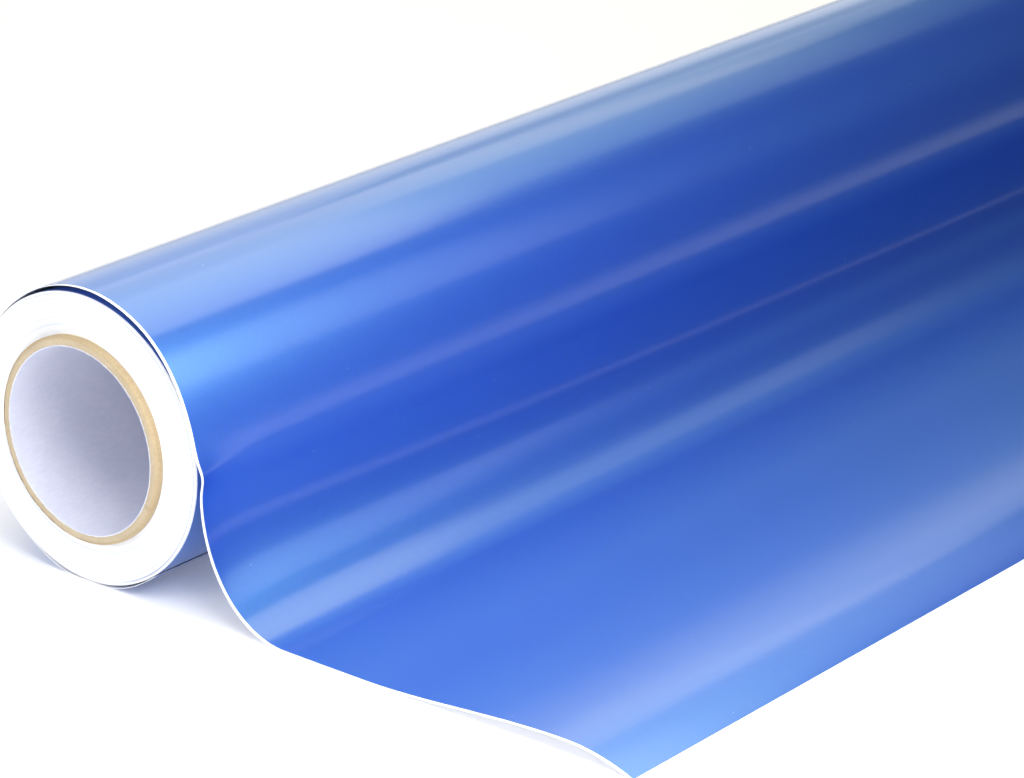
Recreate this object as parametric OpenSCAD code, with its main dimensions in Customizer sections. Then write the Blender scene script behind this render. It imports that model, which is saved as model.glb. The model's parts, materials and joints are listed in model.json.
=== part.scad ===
// Roll of sign vinyl: a printed-sign film on its release liner, wound film side out on a paper core,
// with the outermost turn hanging loose and its free end lying on the table in front.
// Frame: X runs along the core, -Y is the way the sheet is drawn off, Z is up. The origin is on the
// core's axis at mid-width. Everything is in millimetres.

/* [Roll] */
// Outside radius of the tightly wound turns
pack_r = 59.2; // [52:0.1:75]
// Running clearance between the tight turns and the loose turn around them
turn_gap = 0.3; // [0.2:0.05:0.5]

/* [Core] */
// Bore of the paper core, a standard three inches
bore_d = 76.2; // [76:0.1:77]
// Wall of the paper core
core_wall = 4; // [3:0.5:6]
// How far the core stands out of the wound turns at each end
core_proud = 3; // [0:0.5:10]
// Thickness of the white paper that lines the bore, and of the smooth outer ply
ply = 0.4; // [0.3:0.05:0.6]

/* [Web] */
// Width of the release liner, the full width of the roll
web_w = 1220; // [600:10:1600]
// Thickness of the release liner
liner_t = 0.15; // [0.12:0.01:0.2]
// Thickness of the vinyl film with its adhesive
film_t = 0.1; // [0.08:0.01:0.15]
// How far the film's cut edge stops short of the liner's edge on each side
film_inset = 1.3; // [0:0.1:3]

/* [Starting tape] */
// Width of the tape that holds the first turn to the core, measured round the core
tape_w = 25; // [15:1:50]
// Thickness of the tape
tape_t = 0.2; // [0.1:0.05:0.4]

/* [Loose turn] */
// Widest gap between the tight turns and the loose turn, just in front of the top
slack = 3; // [1:0.1:5]
// Half of the angle over which the loose turn lies flat on the table under the roll
foot_half = 7; // [5:0.5:9]
// Angle over which the loose turn closes in on the roll again on each side of that flat
foot_fade = 28; // [24:1:34]

/* [Free sheet] */
// How far in front of the core's axis the sheet hangs straight down
hang_y = 61.4; // [60:0.1:66]
// How far in front of the core's axis the sheet comes down onto the table
land_y = 103; // [95:1:115]
// Where the sheet's fixed part meets the part that is drawn off
draw_y = 130; // [125:1:138]
// Where the sheet starts to rise from the table again
rise_y = 140; // [139:1:160]
// Where the free end can be picked up
lift_y = 200; // [180:1:215]
// Crest of the low hump near the free end
crest_y = 238; // [225:1:245]
// Height of that crest
crest_h = 6; // [2:0.5:10]
// The free end's cut edge
tip_y = 268.7; // [255:0.1:290]

/* [Hidden] */
$fn = 180;

cut = 1;                              // how far a cutting tool runs past a face
web_t = liner_t + film_t;
film_w = web_w - 2 * film_inset;
core_len = web_w + 2 * core_proud;
bore_r = bore_d / 2;
core_r = bore_r + core_wall;
snug_r = pack_r + turn_gap;           // inner face of the loose turn where it is closest
table_z = -(snug_r + web_t);          // the table, under the loose turn
// the first turn is taped to the top of the core, so the roll's balance point is under its axis
tape_n = 18;
tape_step = tape_w / core_r * 180 / PI / tape_n;
tape_from = 90 - tape_n * tape_step / 2;

// Angles round the core's axis run from +Y towards +Z, so 90 is the top and -90 the table.
turn_from = -127;                     // hidden start of the loose turn, in front at the bottom
turn_step = 3.5;
lift_from = 40;                       // the loose turn starts to stand off the roll
lift_full = 105;
drop_from = 118;                      // it starts to close in on the front of the roll
leave = 166.5;                        // it leaves the roll and hangs down
hang_z = table_z + 52;                // height at which it hangs straight down
leave_pull = 7;                       // handle lengths of the two curves below that
hang_pull = 28;
land_pull = 25;
curve_n = 12;

// A smooth step from 0 to 1
function ease(u) = let (c = min(1, max(0, u))) c * c * (3 - 2 * c);

// How far the loose turn stands off the snug circle where it lies flat under the roll
function foot_off(a) =
    let (
        away = abs(a + 90),
        off = snug_r * (1 / cos(foot_half) - 1),
        slope = snug_r * tan(foot_half) / cos(foot_half) * PI / 180,
        u = (away - foot_half) / foot_fade
    )
    away <= foot_half ? snug_r * (1 / cos(away) - 1)
    : u >= 1 ? 0
    : off * (1 + 2 * u) * (1 - u) * (1 - u) + foot_fade * slope * u * (1 - u) * (1 - u);

// How far it stands off over the top of the roll
function slack_off(a) =
    slack * ease((a - lift_from) / (lift_full - lift_from))
    * (1 - ease((a - drop_from) / (leave - drop_from)));

function turn_point(a) =
    let (r = snug_r + foot_off(a) + slack_off(a)) [r * cos(a), r * sin(a)];

function bezier(p, q, r, s, t) =
    p * pow(1 - t, 3) + q * 3 * t * pow(1 - t, 2) + r * 3 * t * t * (1 - t) + s * pow(t, 3);

// Height of the sheet's underside above the table in front of where it lands
function sheet_h(y) =
    y <= crest_y ? crest_h * ease((y - rise_y) / (crest_y - rise_y))
    : crest_h * (1 - pow((y - crest_y) / (tip_y - crest_y), 2));

function sheet_run(from, to, n) =
    [for (i = [1:n]) let (y = from + (to - from) * i / n) [-y, table_z + sheet_h(y)]];

// The inner face of the whole web, in the Y-Z plane, from its hidden start to the free end
foot_run = [for (a = [-90 - 3 * foot_half / 2 : foot_half / 2 : -90 + 3 * foot_half / 2]) a];
turn_run = concat(
    [for (a = [turn_from : turn_step : foot_run[0] - 1]) a],
    foot_run,
    [for (a = [foot_run[len(foot_run) - 1] + turn_step : turn_step : leave - 2]) a],
    [leave]
);
turn = [for (a = turn_run) turn_point(a)];
leave_at = turn_point(leave);
hang_at = [-hang_y, hang_z];
land_at = [-land_y, table_z];
off_roll = [for (i = [1:curve_n])
    bezier(leave_at, leave_at + leave_pull * [-sin(leave), cos(leave)],
        hang_at + [0, leave_pull], hang_at, i / curve_n)];
to_table = [for (i = [1:2 * curve_n])
    bezier(hang_at, hang_at - [0, hang_pull], land_at + [land_pull, 0], land_at,
        i / (2 * curve_n))];
hanging_run = concat(off_roll, to_table, [[-draw_y, table_z]]);
drawn_run = concat([[-rise_y, table_z]], sheet_run(rise_y, lift_y, curve_n));
end_run = concat(sheet_run(lift_y, crest_y, curve_n), sheet_run(crest_y, tip_y, curve_n));
web = concat(turn, hanging_run, drawn_run, end_run);
hang_i = len(turn) - 1;
draw_i = hang_i + len(hanging_run);
lift_i = draw_i + len(drawn_run);
tip_i = len(web) - 1;

// The point of the web at index i, moved out by t across its thickness
function web_at(i, t) =
    let (
        along = web[min(tip_i, i + 1)] - web[max(0, i - 1)],
        out = [along.y, -along.x] / norm(along)
    )
    web[i] + t * out;

// The line on the film's upper face that the free end bends about: [Y, Z]
lift_line = web_at(lift_i, web_t);
echo(lift_line = lift_line, table_z = table_z, core_len = core_len);

// A shape in the Y-Z plane, drawn out along X about the middle of the roll
module along_core(w) {
    rotate([90, 0, 90])
        translate([0, 0, -w / 2])
            linear_extrude(w) children();
}

module tube(outer, inner, w) {
    rotate([0, 90, 0])
        difference() {
            cylinder(r = outer, h = w, center = true);
            cylinder(r = inner, h = w + 2 * cut, center = true);
        }
}

// One layer of the web between two points of its run and two depths in its thickness
module web_layer(first, last, inner, outer, w) {
    along_core(w)
        polygon(concat(
            [for (i = [first:last]) web_at(i, inner)],
            [for (i = [last:-1:first]) web_at(i, outer)]
        ));
}

// The starting tape's section, an arc of short flats, from radius inner to the tape's outer face
module tape_section(inner) {
    turns = [for (i = [0:tape_n]) tape_from + i * tape_step];
    outer = core_r + tape_t;
    polygon(concat(
        [for (a = turns) inner * [cos(a), sin(a)]],
        [for (i = [tape_n:-1:0]) outer * [cos(turns[i]), sin(turns[i])]]
    ));
}

// White paper glued round the bore
module core_bore_lining() {
    color("#DAD8DC") tube(bore_r + ply, bore_r, core_len);
}

// Brown board wound in a spiral, the strength of the core
module core_body() {
    color("#C6A97C") tube(core_r - ply, bore_r + ply, core_len);
}

// Smooth outer ply of the core
module core_outer_ply() {
    color("#B08A5A") tube(core_r, core_r - ply, core_len);
}

// Tape along the core that holds the first turn, its flats just clear of the round core
module start_tape() {
    color("#E9E2C8") along_core(web_w) tape_section(core_r / cos(tape_step / 2));
}

// The tight turns of film and liner
module wound_turns() {
    color("#EDEDF1")
        difference() {
            tube(pack_r - web_t, core_r, web_w);
            along_core(web_w + 2 * cut) tape_section(core_r - cut);
        }
}

// The outermost tight turn: liner inside, film outside
module last_turn_liner() {
    color("#F2F2F4") tube(pack_r - film_t, pack_r - web_t, web_w);
}

module last_turn_film() {
    color("#3A57B4") tube(pack_r, pack_r - film_t, film_w);
}

// The loose turn, from its hidden start under the roll, up the back and over the top
module loose_turn_liner() {
    color("#F2F2F4") web_layer(0, hang_i, 0, liner_t, web_w);
}

module loose_turn_film() {
    color("#4169CC") web_layer(0, hang_i, liner_t, web_t, film_w);
}

// The web hanging off the front of the roll and curving out onto the table
module hanging_web_liner() {
    color("#F2F2F4") web_layer(hang_i, draw_i, 0, liner_t, web_w);
}

module hanging_web_film() {
    color("#4169CC") web_layer(hang_i, draw_i, liner_t, web_t, film_w);
}

// The part of the flat sheet that moves off as the roll turns
module drawn_sheet_liner() {
    color("#F2F2F4") web_layer(draw_i, lift_i, 0, liner_t, web_w);
}

module drawn_sheet_film() {
    color("#4169CC") web_layer(draw_i, lift_i, liner_t, web_t, film_w);
}

// The free end with its low hump, down to the cut edge on the table
module free_end_liner() {
    color("#F2F2F4") web_layer(lift_i, tip_i, 0, liner_t, web_w);
}

module free_end_film() {
    color("#4169CC") web_layer(lift_i, tip_i, liner_t, web_t, film_w);
}

core_bore_lining();
core_body();
core_outer_ply();
start_tape();
wound_turns();
last_turn_liner();
last_turn_film();
loose_turn_liner();
loose_turn_film();
hanging_web_liner();
hanging_web_film();
drawn_sheet_liner();
drawn_sheet_film();
free_end_liner();
free_end_film();
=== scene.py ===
# Roll of sign vinyl, free end drawn off over the top and laid out on the table: the looks, built round
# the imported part. Everything is in metres, with the core's axis along X and the table below it.
import json
import math
import random

import bmesh
import bpy
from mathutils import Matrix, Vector, noise


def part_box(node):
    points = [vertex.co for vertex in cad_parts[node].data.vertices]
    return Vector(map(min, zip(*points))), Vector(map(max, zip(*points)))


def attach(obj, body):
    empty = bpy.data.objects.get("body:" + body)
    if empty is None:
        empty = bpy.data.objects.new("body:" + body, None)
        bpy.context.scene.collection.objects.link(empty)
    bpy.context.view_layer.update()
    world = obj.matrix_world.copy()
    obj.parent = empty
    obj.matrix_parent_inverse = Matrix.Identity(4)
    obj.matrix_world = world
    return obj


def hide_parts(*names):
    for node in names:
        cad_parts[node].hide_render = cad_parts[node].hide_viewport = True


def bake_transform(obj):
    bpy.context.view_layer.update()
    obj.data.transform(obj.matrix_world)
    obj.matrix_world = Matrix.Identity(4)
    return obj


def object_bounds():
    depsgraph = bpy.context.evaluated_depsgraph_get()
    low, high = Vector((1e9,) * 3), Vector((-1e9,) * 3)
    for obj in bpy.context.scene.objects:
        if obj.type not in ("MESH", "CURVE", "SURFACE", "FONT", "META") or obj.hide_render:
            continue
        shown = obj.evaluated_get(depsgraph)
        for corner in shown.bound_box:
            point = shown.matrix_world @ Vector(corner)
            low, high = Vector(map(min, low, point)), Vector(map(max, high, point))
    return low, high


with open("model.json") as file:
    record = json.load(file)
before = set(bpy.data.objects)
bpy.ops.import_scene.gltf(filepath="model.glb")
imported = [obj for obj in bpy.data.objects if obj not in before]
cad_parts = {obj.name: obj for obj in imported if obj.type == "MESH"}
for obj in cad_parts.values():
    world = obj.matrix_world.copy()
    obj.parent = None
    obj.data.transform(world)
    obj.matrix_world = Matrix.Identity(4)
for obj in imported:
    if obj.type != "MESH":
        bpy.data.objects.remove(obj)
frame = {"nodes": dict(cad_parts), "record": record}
cad_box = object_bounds()

MM = 0.001
table_z = cad_box[0].z


# ---- Camera ----------------------------------------------------------------------------------------
# A long lens looks down on the near end from the left and in front, along the roll.
near_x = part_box("loose_turn_liner")[0].x
look_at = Vector((near_x + 111 * MM, -122 * MM, 18 * MM))
look_azimuth = math.radians(50.26)
look_down = math.radians(21.26)
look_distance = 1.5562

look = Vector((
    math.sin(look_azimuth) * math.cos(look_down),
    math.cos(look_azimuth) * math.cos(look_down),
    -math.sin(look_down),
))
camera = bpy.data.objects.new("camera", bpy.data.cameras.new("camera"))
bpy.context.scene.collection.objects.link(camera)
camera.data.lens = 142.1
camera.data.sensor_width = 36
camera.data.clip_end = 20
camera.location = look_at - look_distance * look
camera.rotation_mode = "QUATERNION"
camera.rotation_quaternion = look.to_track_quat("-Z", "Y")
bpy.context.scene.camera = camera
bpy.context.scene.view_settings.view_transform = "Standard"


# ---- Table and light -------------------------------------------------------------------------------
# A plain pale table, lit by big soft panels: a strong one low in front of the near end, a bank overhead
# behind the roll, pale walls on the left and across the back, and weak fill in front.
def linear(hex_colour):
    parts = [int(hex_colour[i:i + 2], 16) / 255 for i in (1, 3, 5)]
    return [c / 12.92 if c <= 0.04045 else ((c + 0.055) / 1.055) ** 2.4 for c in parts] + [1.0]


def add(tree, kind, inputs=None, **settings):
    """One shader node with its settings, and its inputs as values or as links from other sockets."""
    made = tree.nodes.new(kind)
    for name, value in settings.items():
        setattr(made, name, value)
    for name, value in (inputs or {}).items():
        if isinstance(value, bpy.types.NodeSocket):
            tree.links.new(value, made.inputs[name])
        else:
            made.inputs[name].default_value = value
    return made


def material(name):
    """An empty material and its node tree."""
    made = bpy.data.materials.new(name)
    made.use_nodes = True
    made.node_tree.nodes.clear()
    return made, made.node_tree


def surface(tree, shader):
    add(tree, "ShaderNodeOutputMaterial", {"Surface": shader.outputs[0]})


table_half = 6.0
table_glow = 0.14
lit_to, grey_from = -0.42, -0.60


def table_top():
    # Opal acrylic lit from below, the light given as the acrylic's own glow: white, matt, and with only
    # thin shadows under the roll. In front of the sheet the acrylic is painted grey and stops glowing,
    # painted shade where the lit part ends, so the web's hollows mirror only a narrow bright strip of
    # it.
    made, tree = material("table_opal_acrylic_matt")
    apart = add(tree, "ShaderNodeSeparateXYZ", {
        "Vector": add(tree, "ShaderNodeTexCoord").outputs["Object"]})
    unlit = add(tree, "ShaderNodeMapRange", {
        "Value": apart.outputs["Y"], "From Min": lit_to, "From Max": grey_from},
        interpolation_type="SMOOTHSTEP")
    tone = add(tree, "ShaderNodeMix", {
        "Factor": unlit.outputs[0], "A": linear("#F4F5F8"), "B": linear("#8A8E98")}, data_type="RGBA")
    glow = add(tree, "ShaderNodeMath", {
        0: unlit.outputs[0], 1: -table_glow, 2: table_glow}, operation="MULTIPLY_ADD")
    surface(tree, add(tree, "ShaderNodeBsdfPrincipled", {
        "Base Color": tone.outputs["Result"],
        "Roughness": 0.7,
        "Specular IOR Level": 0.2,
        "Emission Color": linear("#F4F6FF"),
        "Emission Strength": glow.outputs[0],
    }))
    return made


table_mesh = bpy.data.meshes.new("table")
table_mesh.from_pydata(
    [(x, y, table_z) for x, y in ((-table_half, -table_half), (table_half, -table_half),
                                  (table_half, table_half), (-table_half, table_half))],
    [], [(0, 1, 2, 3)])
table = bpy.data.objects.new("table", table_mesh)
table_mesh.materials.append(table_top())
bpy.context.scene.collection.objects.link(table)


def light_panel(name, place, aim, width, depth, radiance, colour="#FFFFFF"):
    """A soft panel at place, facing aim with its depth towards the zenith, or straight down."""
    made = bpy.data.objects.new(name, bpy.data.lights.new(name, "AREA"))
    made.data.shape = "RECTANGLE"
    made.data.size = width
    made.data.size_y = depth
    made.data.energy = radiance * math.pi * width * depth
    made.data.color = linear(colour)[:3]
    bpy.context.scene.collection.objects.link(made)
    made.location = place
    if aim:
        made.rotation_mode = "QUATERNION"
        made.rotation_quaternion = (Vector(aim) - Vector(place)).to_track_quat("-Z", "Y")
    made.visible_camera = False


light_panel("key_strip", (-0.58, -0.30, 0.25), (-0.55, -0.06, 0), 0.42, 0.18, 8.2)
light_panel("left_overhead", (-1.0, -0.25, 1.0), (-0.9, -0.1, 0), 0.5, 0.75, 3.3)
light_panel("left_wall", (-2.0, -0.9, 0.45), (-0.6, -0.2, 0), 1.0, 1.0, 2.0)
light_panel("left_wall_back", (-2.0, 0.3, 0.45), (-0.6, -0.1, 0), 1.2, 1.0, 1.9)
light_panel("left_back", (-0.5, 0.5, 1.0), (-0.5, 0.4, 0), 0.5, 0.75, 1.4)
light_panel("left_low", (-1.05, 0.05, 0.15), (-0.68, -0.03, -0.06), 0.5, 0.2, 1.6)
light_panel("top_front", (0.15, 0.10, 1.0), None, 0.80, 0.80, 2.5, "#FFF4D8")
light_panel("top_back", (0.50, 0.875, 1.0), None, 1.50, 0.75, 1.7, "#FFF4D8")
light_panel("top_right", (0.85, 0.20, 1.0), None, 0.60, 0.60, 0.55)
light_panel("top_far_right", (1.65, 0.95, 1.0), None, 0.80, 0.60, 0.7)
light_panel("back_wall_left", (-0.1, 1.5, 0.5), (-0.1, 0, 0.5), 0.8, 1.0, 1.5)
light_panel("back_wall", (1.3, 1.5, 0.35), (1.3, 0, 0.35), 2.0, 0.68, 1.1)
light_panel("back_wall_top", (0.80, 1.5, 1.0), (0.80, 0, 1.0), 0.95, 0.6, 1.0)
light_panel("back_wall_top_right", (1.90, 1.5, 1.0), (1.90, 0, 1.0), 1.2, 0.6, 0.5)
light_panel("front_right", (0.75, -1.25, 1.0), (0.3, -0.3, 0), 0.8, 0.8, 1.1)
light_panel("front_low", (-0.3, -1.6, 0.2), (-0.3, 0, 0.1), 1.4, 0.5, 1.1)
world = bpy.data.worlds.new("studio")
bpy.context.scene.world = world
world.use_nodes = True
world.node_tree.nodes["Background"].inputs["Color"].default_value = linear("#C9D2E6")
world.node_tree.nodes["Background"].inputs["Strength"].default_value = 0.05


# ---- Paper core ------------------------------------------------------------------------------------
# A tube of brown board wound in a spiral from glued plies, cut off square with a saw. A smooth brown
# ply covers it outside and white paper lines the bore. The vinyl is wound straight onto it.
def turned(name, outline, steps, shape=None, sharp=35):
    """A closed outline of (x, radius) points turned about the core's axis."""
    count = len(outline)
    points = []
    for i in range(steps):
        a = math.tau * i / steps
        for x, r in outline:
            if shape:
                x, r = shape(x, r, a)
            points.append((x, r * math.cos(a), r * math.sin(a)))
    faces = []
    for i in range(steps):
        here, there = i * count, (i + 1) % steps * count
        for j in range(count):
            k = (j + 1) % count
            faces.append((here + j, here + k, there + k, there + j))
    return piece(name, points, faces, sharp)


def piece(name, points, faces, sharp):
    """A smooth-shaded mesh object whose edges over the angle sharp, in degrees, stay crisp."""
    mesh = bpy.data.meshes.new(name)
    mesh.from_pydata(points, [], faces)
    mesh.validate()
    shell = bmesh.new()
    shell.from_mesh(mesh)
    bmesh.ops.recalc_face_normals(shell, faces=shell.faces)
    shell.to_mesh(mesh)
    shell.free()
    mesh.shade_smooth()
    mesh.set_sharp_from_angle(angle=math.radians(sharp))
    made = bpy.data.objects.new(name, mesh)
    bpy.context.scene.collection.objects.link(made)
    return made


def tube_outline(half, inner, outer, lip, step):
    """Half the length, two radii, the rounding of the cut edges, and the longest step along the wall."""
    along = max(2, round(2 * half / step))
    near = [half - e * MM for e in (0.5, 0.9, 1.4, 2.2, 6)]
    middle = [near[-1] * (1 - 2 * i / along) for i in range(1, along)]
    wall = near + middle + [-x for x in reversed(near)]
    return ([(half - lip * 0.3, outer - lip * 0.3)] + [(x, outer) for x in wall]
            + [(-half + lip * 0.3, outer - lip * 0.3), (-half, outer - lip)]
            + [(-half, inner + lip), (-half + lip * 0.3, inner + lip * 0.3)]
            + [(x, inner) for x in reversed(wall)]
            + [(half - lip * 0.3, inner + lip * 0.3), (half, inner + lip), (half, outer - lip)])


bore_r = frame["record"]["mounts"][0]["dims"]["r_mm"] * MM
ply = 0.4 * MM
core_r = bore_r + 4 * MM
core_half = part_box("core_body")[1].x
ply_pitch = 110 * MM


def board(name, base, fibre, fibre_mm, seam_pitch, rough):
    # Paper board: long flat fibres lie along the winding spiral, the plies' seam runs round the tube
    # as a fine helix, and nothing on it shines.
    made, tree = material(name)
    place = add(tree, "ShaderNodeTexCoord").outputs["Object"]
    apart = add(tree, "ShaderNodeSeparateXYZ", {"Vector": place})
    angle = add(tree, "ShaderNodeMath", {0: apart.outputs["Z"], 1: apart.outputs["Y"]},
                operation="ARCTAN2")
    turns = add(tree, "ShaderNodeMath", {0: angle.outputs[0], 1: 1 / math.tau},
                operation="MULTIPLY")
    along = add(tree, "ShaderNodeMath", {0: apart.outputs["X"], 1: 1 / seam_pitch, 2: turns.outputs[0]},
                operation="MULTIPLY_ADD")
    spiral = add(tree, "ShaderNodeMath", {0: along.outputs[0]}, operation="FRACT")
    seam = add(tree, "ShaderNodeMapRange", {
        "Value": spiral.outputs[0], "From Min": 0.0, "From Max": 1.2 * MM / seam_pitch,
        "To Min": 1.0, "To Max": 0.0}, interpolation_type="SMOOTHSTEP")
    fibres = add(tree, "ShaderNodeTexNoise", {
        "Vector": add(tree, "ShaderNodeMapping", {
            "Vector": place, "Scale": (0.35, 1.0, 1.0)}).outputs[0],
        "Scale": 1 / (fibre_mm * MM), "Detail": 6.0, "Roughness": 0.65, "Distortion": 0.6})
    cloud = add(tree, "ShaderNodeTexNoise", {
        "Vector": place, "Scale": 1 / (18 * MM), "Detail": 3.0})
    tone = add(tree, "ShaderNodeMix", {
        "Factor": fibres.outputs["Fac"], "A": linear(base), "B": linear(fibre)}, data_type="RGBA")
    clouded = add(tree, "ShaderNodeMix", {
        "Factor": add(tree, "ShaderNodeMapRange", {
            "Value": cloud.outputs["Fac"], "From Min": 0.35, "From Max": 0.7,
            "To Min": 0.0, "To Max": 0.3}).outputs[0],
        "A": tone.outputs["Result"], "B": linear(fibre)}, data_type="RGBA")
    seamed = add(tree, "ShaderNodeMix", {
        "Factor": add(tree, "ShaderNodeMath", {0: seam.outputs[0], 1: 0.45},
                      operation="MULTIPLY").outputs[0],
        "A": clouded.outputs["Result"], "B": linear(fibre)}, data_type="RGBA")
    relief = add(tree, "ShaderNodeMath", {
        0: seam.outputs[0], 1: 0.7, 2: fibres.outputs["Fac"]}, operation="MULTIPLY_ADD")
    bump = add(tree, "ShaderNodeBump", {
        "Height": relief.outputs[0], "Strength": 0.5, "Distance": 0.12 * MM})
    surface(tree, add(tree, "ShaderNodeBsdfPrincipled", {
        "Base Color": seamed.outputs["Result"], "Roughness": rough,
        "Specular IOR Level": 0.25, "Normal": bump.outputs["Normal"]}))
    return made


def worn_end(depth, grain):
    """The saw's rough cut, uneven by depth, with the tube's outer edge crushed round by handling."""
    def shape(x, r, a):
        past = (abs(x) - core_half + 1.5 * MM) / (1.5 * MM)
        if past <= 0:
            return x, r
        outer = max(0.0, (r - bore_r) / (core_r - bore_r) - 0.4) / 0.6
        r -= 0.75 * MM * past ** 2 * outer
        if past > 0.5:
            at = Vector((r * math.cos(a), r * math.sin(a), x)) / grain
            x -= math.copysign(depth * max(0.0, noise.noise(at) + 0.4), x)
        return x, r
    return shape


core_wall_rough = tube_outline(core_half, bore_r + ply, core_r - ply, 0.3 * MM, 60 * MM)
core_body = turned("core_body_board", core_wall_rough, 256, worn_end(0.35 * MM, 1.6 * MM))
core_body.data.materials.append(board("kraft_board_sawn", "#D9CCB4", "#9E8B6C", 0.45, ply_pitch, 0.85))
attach(core_body, "roll")
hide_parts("core_body")

core_ply = turned("core_outer_ply_paper",
                  tube_outline(core_half, core_r - ply, core_r, 0.12 * MM, 60 * MM), 256,
                  worn_end(0.2 * MM, 2.5 * MM))
core_ply.data.materials.append(board("kraft_paper_calendered", "#CDBA99", "#A18C6A", 0.8, ply_pitch,
                                     0.7))
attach(core_ply, "roll")
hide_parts("core_outer_ply")

# The lining is white paper; its cool lilac-grey tint is painted shade, the colour white paper takes in
# the shaded bore.
core_lining = turned("core_bore_lining_paper",
                     tube_outline(core_half, bore_r, bore_r + ply, 0.12 * MM, 60 * MM), 256,
                     worn_end(0.3 * MM, 1.1 * MM))
core_lining.data.materials.append(board("white_lining_paper_shade_tint", "#ECEEF8", "#D3D6EA", 1.4, ply_pitch,
                                        0.75))
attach(core_lining, "roll")
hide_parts("core_bore_lining")


# ---- Starting tape ---------------------------------------------------------------------------------
# Masking tape along the core holds the first turn. It is buried, so the part's own solid serves.
tape_node = frame["nodes"]["start_tape"]
tape_node.data.materials.clear()
tape_node.data.materials.append(board("creped_masking_tape", "#E9E2C8", "#D6CBA6", 0.6, 0.4, 0.8))


# ---- Tight turns -----------------------------------------------------------------------------------
# Some seventy turns of film on liner, wound tight and slit with a knife. On both end faces the
# liner's edges stand proud of the film's, so they look white with fine rings where turns have shifted.
liner_t = 0.15 * MM
film_t = 0.10 * MM
web_t = liner_t + film_t
snug_r = -table_z - web_t
turn_gap = 0.3 * MM
pack_r = snug_r - turn_gap
loose_r = pack_r - 1.3 * MM
web_half = -near_x
film_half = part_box("loose_turn_film")[1].x


def slit_edges():
    # The knife-cut edges of stacked paper liner: matt white, with faint cool rings where a turn sits
    # back and a film edge shows between two liners, and one dark line of painted shade for the gap where
    # the last turns have slackened, painted strongest in front.
    made, tree = material("release_liner_slit_edges")
    place = add(tree, "ShaderNodeTexCoord").outputs["Object"]
    apart = add(tree, "ShaderNodeSeparateXYZ", {"Vector": place})
    across = add(tree, "ShaderNodeCombineXYZ", {"X": apart.outputs["Y"], "Y": apart.outputs["Z"]})
    radius = add(tree, "ShaderNodeVectorMath", {0: across.outputs[0]}, operation="LENGTH")
    waver = add(tree, "ShaderNodeTexNoise", {
        "Vector": across.outputs[0], "Scale": 1 / (25 * MM), "Detail": 1.0})
    ring_at = add(tree, "ShaderNodeMath", {
        0: waver.outputs["Fac"], 1: 1.2 * MM, 2: radius.outputs["Value"]},
        operation="MULTIPLY_ADD")
    rings = add(tree, "ShaderNodeTexNoise", {
        "W": ring_at.outputs[0], "Scale": 1 / (1.1 * MM), "Detail": 4.0, "Roughness": 0.7},
        noise_dimensions="1D")
    tone = add(tree, "ShaderNodeMix", {
        "Factor": add(tree, "ShaderNodeMapRange", {
            "Value": rings.outputs["Fac"], "From Min": 0.5, "From Max": 0.75}).outputs[0],
        "A": linear("#FBFCFE"), "B": linear("#E0E6F2")}, data_type="RGBA")
    # Painted shade: a lilac-grey line at the slack turns' gap, weak behind and strongest in front.
    off_gap = add(tree, "ShaderNodeMath", {
        0: radius.outputs["Value"], 1: loose_r}, operation="SUBTRACT")
    gap = add(tree, "ShaderNodeMapRange", {
        "Value": add(tree, "ShaderNodeMath", {0: off_gap.outputs[0]}, operation="ABSOLUTE").outputs[0],
        "From Min": 0.10 * MM, "From Max": 0.35 * MM, "To Min": 0.75, "To Max": 0.0},
        interpolation_type="SMOOTHSTEP")
    in_front = add(tree, "ShaderNodeMapRange", {
        "Value": apart.outputs["Y"], "From Min": -10 * MM, "From Max": -35 * MM,
        "To Min": 0.15, "To Max": 1.0}, interpolation_type="SMOOTHSTEP")
    painted_gap_shade = add(tree, "ShaderNodeMix", {
        "Factor": add(tree, "ShaderNodeMath", {0: gap.outputs[0], 1: in_front.outputs[0]},
                      operation="MULTIPLY").outputs[0],
        "A": tone.outputs["Result"], "B": linear("#A9B4D6")}, data_type="RGBA")
    bump = add(tree, "ShaderNodeBump", {
        "Height": rings.outputs["Fac"], "Strength": 0.4, "Distance": 0.2 * MM})
    surface(tree, add(tree, "ShaderNodeBsdfPrincipled", {
        "Base Color": painted_gap_shade.outputs["Result"], "Roughness": 0.7,
        "Specular IOR Level": 0.3, "Normal": bump.outputs["Normal"]}))
    return made


def wound_pack(name, inner, outer, half, pitch, steps):
    """Turns wound in a spiral: each end face is one helical ramp of liner edges and film grooves."""
    shift = random.Random(7)
    count = int((outer - inner) / pitch)
    step_back = [0.0]
    for i in range(count):
        drift = 0.9 * step_back[-1] + shift.uniform(-0.09, 0.09) * MM
        step_back.append(drift + (0.12 * MM if shift.random() < 0.12 else 0))
    profile = []
    for i in range(count):
        start = inner + i * pitch
        sunk = 0.25 * MM + max(0.0, step_back[i])
        profile += [(start, sunk + 0.35 * MM), (start + 0.35 * pitch, sunk), (start + 0.9 * pitch, sunk)]
    points, faces = [], []
    rows = len(profile) + 2
    for side in (-1, 1):
        for i in range(steps + 1):
            a = math.tau * i / steps
            out = pitch * i / steps
            ring = [(inner, 0.25 * MM)] + [(min(outer, r + out), sunk) for r, sunk in profile]
            ring.append((outer, 0.25 * MM))
            points += [(side * (half - sunk), r * math.cos(a), r * math.sin(a)) for r, sunk in ring]
    base = (steps + 1) * rows
    for side in (0, 1):
        for i in range(steps):
            for j in range(rows - 1):
                p = side * base + i * rows + j
                quad = (p, p + 1, p + rows + 1, p + rows)
                faces.append(quad if side else quad[::-1])
    for i in range(steps):
        low, high = i * rows, base + i * rows
        faces.append((low, low + rows, high + rows, high))
        low, high = low + rows - 1, high + rows - 1
        faces.append((low, high, high + rows, low + rows))
    return piece(name, points, faces, 40)


edges_white = slit_edges()
wound = wound_pack("wound_turns_edges", core_r, pack_r - web_t, web_half, web_t, 240)
wound.data.materials.append(edges_white)
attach(wound, "roll")
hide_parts("wound_turns")


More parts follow.
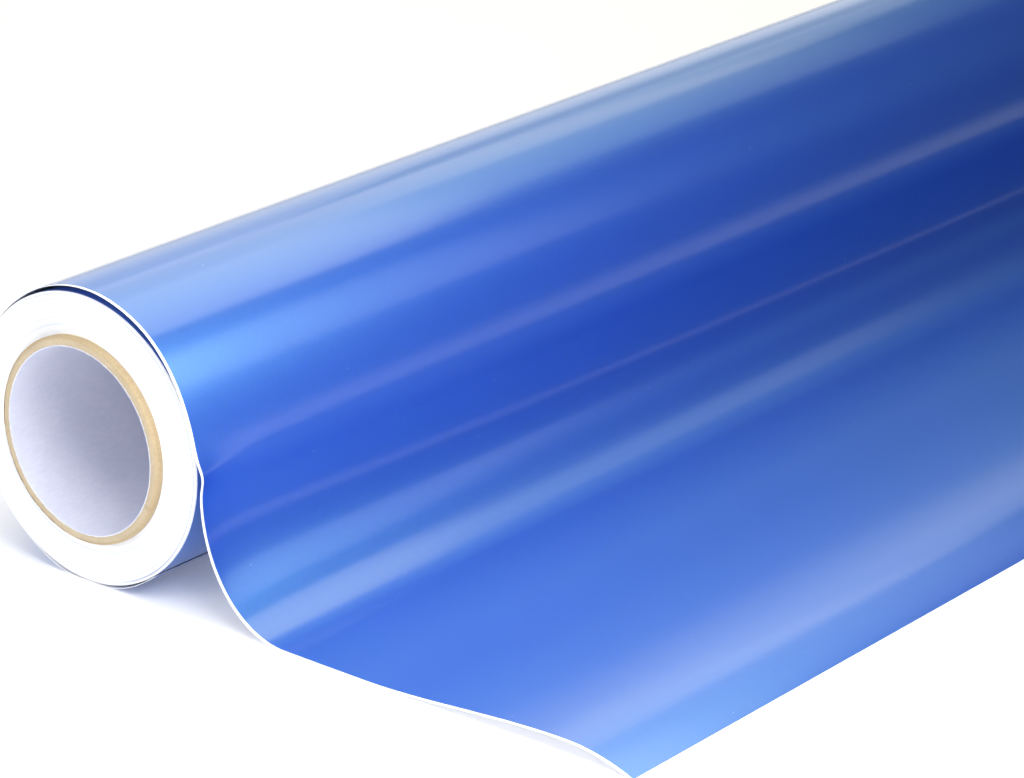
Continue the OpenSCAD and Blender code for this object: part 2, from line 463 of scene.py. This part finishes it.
# ---- The web: vinyl film on release liner ----------------------------------------------------------
# Calendered PVC film, coloured with blue metallic pigment under a clear top coat, on silicone-coated
# white paper. The slack outer turn comes off over the top, hangs down the front in an S and lies out
# flat, its free end springing up a little before the cut edge.
def metallic_vinyl():
    # Fine metal flake floating over a deep blue body, under a clear top coat. In shade only the body
    # shows, a pure royal blue; the flakes turn it azure where they face a light. The coat lays pale,
    # soft-edged reflections over both. The fine lines that calendering leaves along the web fray those
    # edges, the sheet's slight waves bend them, and a few specks of dust lie on it.
    made, tree = material("metallic_vinyl_calendered")
    place = add(tree, "ShaderNodeTexCoord").outputs["Object"]
    flake = add(tree, "ShaderNodeTexNoise", {
        "Vector": add(tree, "ShaderNodeMapping", {
            "Vector": place, "Scale": (1.0, 0.3, 0.3)}).outputs[0],
        "Scale": 1 / (0.9 * MM), "Detail": 2.0, "Roughness": 0.6})
    lines = add(tree, "ShaderNodeTexNoise", {
        "Vector": add(tree, "ShaderNodeMapping", {
            "Vector": place, "Scale": (1.0, 0.04, 0.04)}).outputs[0],
        "Scale": 1 / (2.4 * MM), "Detail": 3.0, "Roughness": 0.55})
    waves = add(tree, "ShaderNodeTexNoise", {
        "Vector": add(tree, "ShaderNodeMapping", {
            "Vector": place, "Scale": (1.0, 0.5, 0.5)}).outputs[0],
        "Scale": 1 / (70 * MM), "Detail": 2.0, "Roughness": 0.4})
    tone = add(tree, "ShaderNodeMix", {
        "Factor": flake.outputs["Fac"],
        "A": linear("#041EA0"), "B": linear("#0628B0")}, data_type="RGBA")
    clouded = add(tree, "ShaderNodeMix", {
        "Factor": add(tree, "ShaderNodeMapRange", {
            "Value": waves.outputs["Fac"], "From Min": 0.3, "From Max": 0.7,
            "To Min": 0.0, "To Max": 0.5}).outputs[0],
        "A": tone.outputs["Result"], "B": linear("#0524A8")}, data_type="RGBA")
    specks = add(tree, "ShaderNodeTexVoronoi", {
        "Vector": place, "Scale": 1 / (14 * MM), "Randomness": 1.0})
    dusty = add(tree, "ShaderNodeMix", {
        "Factor": add(tree, "ShaderNodeMapRange", {
            "Value": specks.outputs["Distance"], "From Min": 0.012, "From Max": 0.030,
            "To Min": 0.35, "To Max": 0.0}).outputs[0],
        "A": clouded.outputs["Result"], "B": linear("#C9D6F2")}, data_type="RGBA")
    wavy = add(tree, "ShaderNodeBump", {
        "Height": waves.outputs["Fac"], "Strength": 1.0, "Distance": 0.15 * MM})
    fine = add(tree, "ShaderNodeBump", {
        "Height": lines.outputs["Fac"], "Strength": 0.5, "Distance": 0.02 * MM,
        "Normal": wavy.outputs["Normal"]})
    bump = add(tree, "ShaderNodeBump", {
        "Height": flake.outputs["Fac"], "Strength": 1.0, "Distance": 0.06 * MM,
        "Normal": fine.outputs["Normal"]})
    surface(tree, add(tree, "ShaderNodeBsdfPrincipled", {
        "Base Color": dusty.outputs["Result"], "Roughness": 0.45,
        "IOR": 2.4, "Specular IOR Level": 0.7, "Specular Tint": linear("#9BF1FF"),
        "Coat Weight": 1.0, "Coat Roughness": 0.16, "Coat IOR": 1.5,
        "Normal": bump.outputs["Normal"], "Coat Normal": fine.outputs["Normal"]}))
    return made


def release_paper():
    # Clay-coated paper with a silicone face: smooth satin white with a faint even grain.
    made, tree = material("release_liner_silicone_coated")
    place = add(tree, "ShaderNodeTexCoord").outputs["Object"]
    grain = add(tree, "ShaderNodeTexNoise", {
        "Vector": place, "Scale": 1 / (1.5 * MM), "Detail": 4.0, "Roughness": 0.6})
    tone = add(tree, "ShaderNodeMix", {
        "Factor": grain.outputs["Fac"],
        "A": linear("#F3F4F9"), "B": linear("#FCFCFE")}, data_type="RGBA")
    bump = add(tree, "ShaderNodeBump", {
        "Height": grain.outputs["Fac"], "Strength": 0.2, "Distance": 0.02 * MM})
    surface(tree, add(tree, "ShaderNodeBsdfPrincipled", {
        "Base Color": tone.outputs["Result"], "Roughness": 0.45,
        "Coat Weight": 0.2, "Coat Roughness": 0.3, "Normal": bump.outputs["Normal"]}))
    return made


vinyl = metallic_vinyl()
liner_paper = release_paper()

last_liner = turned("last_turn_liner_paper",
                    tube_outline(web_half, pack_r - web_t, pack_r - film_t, 0.03 * MM, 80 * MM), 256)
last_liner.data.materials.append(liner_paper)
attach(last_liner, "roll")
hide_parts("last_turn_liner")

last_film = turned("last_turn_film_vinyl",
                   tube_outline(film_half, pack_r - film_t, pack_r, 0.02 * MM, 80 * MM), 256)
last_film.data.materials.append(vinyl)
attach(last_film, "roll")
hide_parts("last_turn_film")

# The web's run in the Y-Z plane, as the part has it, with the same turning points.
turn_from, leave = -127, 166.5
foot_half, foot_fade = 7, 28
lift_from, lift_full, drop_from = 40, 105, 118
slack = 3 * MM
hang_at = Vector((-61.4 * MM, table_z + 52 * MM))
land_at = Vector((-103 * MM, table_z))
leave_pull, hang_pull, land_pull = 7 * MM, 28 * MM, 25 * MM
rise_y, lift_y, crest_y, tip_y = 140 * MM, 200 * MM, 238 * MM, 268.7 * MM
crest_h = 6 * MM


def ease(u):
    c = min(1.0, max(0.0, u))
    return c * c * (3 - 2 * c)


def foot_off(a):
    """How far the loose turn stands off where it lies flat under the roll."""
    away = abs(a + 90)
    if away <= foot_half:
        return snug_r * (1 / math.cos(math.radians(away)) - 1)
    u = (away - foot_half) / foot_fade
    if u >= 1:
        return 0.0
    half = math.radians(foot_half)
    off = snug_r * (1 / math.cos(half) - 1)
    slope = snug_r * math.tan(half) / math.cos(half) * math.pi / 180
    return off * (1 + 2 * u) * (1 - u) ** 2 + foot_fade * slope * u * (1 - u) ** 2


def turn_point(a):
    over = ease((a - lift_from) / (lift_full - lift_from))
    over *= 1 - ease((a - drop_from) / (leave - drop_from))
    r = snug_r + foot_off(a) + slack * over
    return Vector((r * math.cos(math.radians(a)), r * math.sin(math.radians(a))))


def bezier(p, q, r, s, t):
    return p * (1 - t) ** 3 + q * 3 * t * (1 - t) ** 2 + r * 3 * t * t * (1 - t) + s * t ** 3


def sheet_h(y):
    if y <= crest_y:
        return crest_h * ease((y - rise_y) / (crest_y - rise_y))
    return crest_h * (1 - ((y - crest_y) / (tip_y - crest_y)) ** 2)


def web_run():
    """Points about a millimetre and a half apart, and the index of the one on the lift line."""
    turns = round((leave - turn_from) / 1.5)
    run = [turn_point(turn_from + (leave - turn_from) * i / turns) for i in range(turns + 1)]
    leave_at = run[-1]
    down = Vector((-math.sin(math.radians(leave)), math.cos(math.radians(leave))))
    run += [bezier(leave_at, leave_at + leave_pull * down, hang_at + Vector((0, leave_pull)), hang_at,
                   i / 14) for i in range(1, 15)]
    run += [bezier(hang_at, hang_at - Vector((0, hang_pull)), land_at + Vector((land_pull, 0)), land_at,
                   i / 46) for i in range(1, 47)]
    for a, b in ((-land_at.x, lift_y), (lift_y, tip_y)):
        n = round((b - a) / (1.5 * MM))
        run += [Vector((-(a + (b - a) * i / n), table_z + sheet_h(a + (b - a) * i / n)))
                for i in range(1, n + 1)]
        if b == lift_y:
            lift_row = len(run) - 1
    return run, lift_row


run, lift_row = web_run()
kink_at = 323.5 * MM
lengths = [0.0]
for here, there in zip(run, run[1:]):
    lengths.append(lengths[-1] + (there - here).length)


def outward(i):
    along = run[min(len(run) - 1, i + 1)] - run[max(0, i - 1)]
    return Vector((along.y, -along.x)).normalized()


def columns(half):
    """Places across the web: close together near both edges, wider in between."""
    edge = [0, 0.6, 2, 4, 7, 11, 16, 22, 30, 40, 52, 66, 82, 100]
    near = [-half + e * MM for e in edge]
    middle = 50
    span = 2 * (half - 100 * MM)
    return near + [near[-1] + span * i / middle for i in range(1, middle)] + [-x for x in reversed(near)]


# Away from its two edges the hanging web lies closer to the roll: it is held in just under the place
# where it leaves, and sags in over the drop. Near the edges a short crease stands out between the two.
held_in, sagged_in, kinked_out = 1.8 * MM, 9 * MM, 1.8 * MM


def drawn_in(i, x):
    """How far the hanging web is pulled in towards the roll at row i, x from mid-width."""
    depth = max(0.0, web_half - abs(x))
    held = held_in * (1 - math.exp(-depth / 0.012))
    held *= ease((lengths[i] - 0.307) / 0.028) * (1 - ease((lengths[i] - 0.350) / 0.045))
    sagged = sagged_in * (1 - (1 - depth / web_half) ** 1.5)
    sagged *= ease((lengths[i] - 0.318) / 0.058) * (1 - ease((lengths[i] - 0.368) / 0.070))
    kinked = kinked_out * math.exp(-depth / 0.010 - ((lengths[i] - kink_at) / 0.005) ** 2)
    return held + sagged - kinked


def web_layer(name, first, last, inner, outer, half):
    """One layer of the web between two rows of its run, from depth inner to depth outer."""
    across = columns(half)
    wide = len(across)
    points, faces = [], []
    for depth in (inner, outer):
        for i in range(first, last + 1):
            out = outward(i)
            at = run[i] + depth * out
            points += [(x, at.x + drawn_in(i, x), at.y) for x in across]
    rows = last - first + 1
    base = rows * wide
    for i in range(rows - 1):
        for j in range(wide - 1):
            p = i * wide + j
            faces.append((p, p + wide, p + wide + 1, p + 1))
            faces.append((base + p, base + p + 1, base + p + wide + 1, base + p + wide))
        for j in (0, wide - 1):
            p = i * wide + j
            side = (p, base + p, base + p + wide, p + wide)
            faces.append(side if j == 0 else side[::-1])
    for j in range(wide - 1):
        p = j
        faces.append((p, p + 1, base + p + 1, base + p))
        p = (rows - 1) * wide + j
        faces.append((p, base + p, base + p + 1, p + 1))
    return piece(name, points, faces, 50)


end_row = len(run) - 1
for kind, inner, outer, half, stuff, slot in (
        ("liner_paper", 0, liner_t, web_half, liner_paper, "liner_paper"),
        ("film_vinyl", liner_t, web_t, film_half, vinyl, "vinyl_film")):
    node = kind.split("_")[0]
    laid = web_layer("web_" + kind, 0, lift_row, inner, outer, half)
    laid.data.materials.append(stuff)
    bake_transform(laid)
    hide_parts("loose_turn_" + node, "hanging_web_" + node, "drawn_sheet_" + node)
    free = web_layer("free_end_" + kind, lift_row, end_row, inner, outer, half)
    free.data.materials.append(stuff)
    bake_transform(free)
    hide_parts("free_end_" + node)
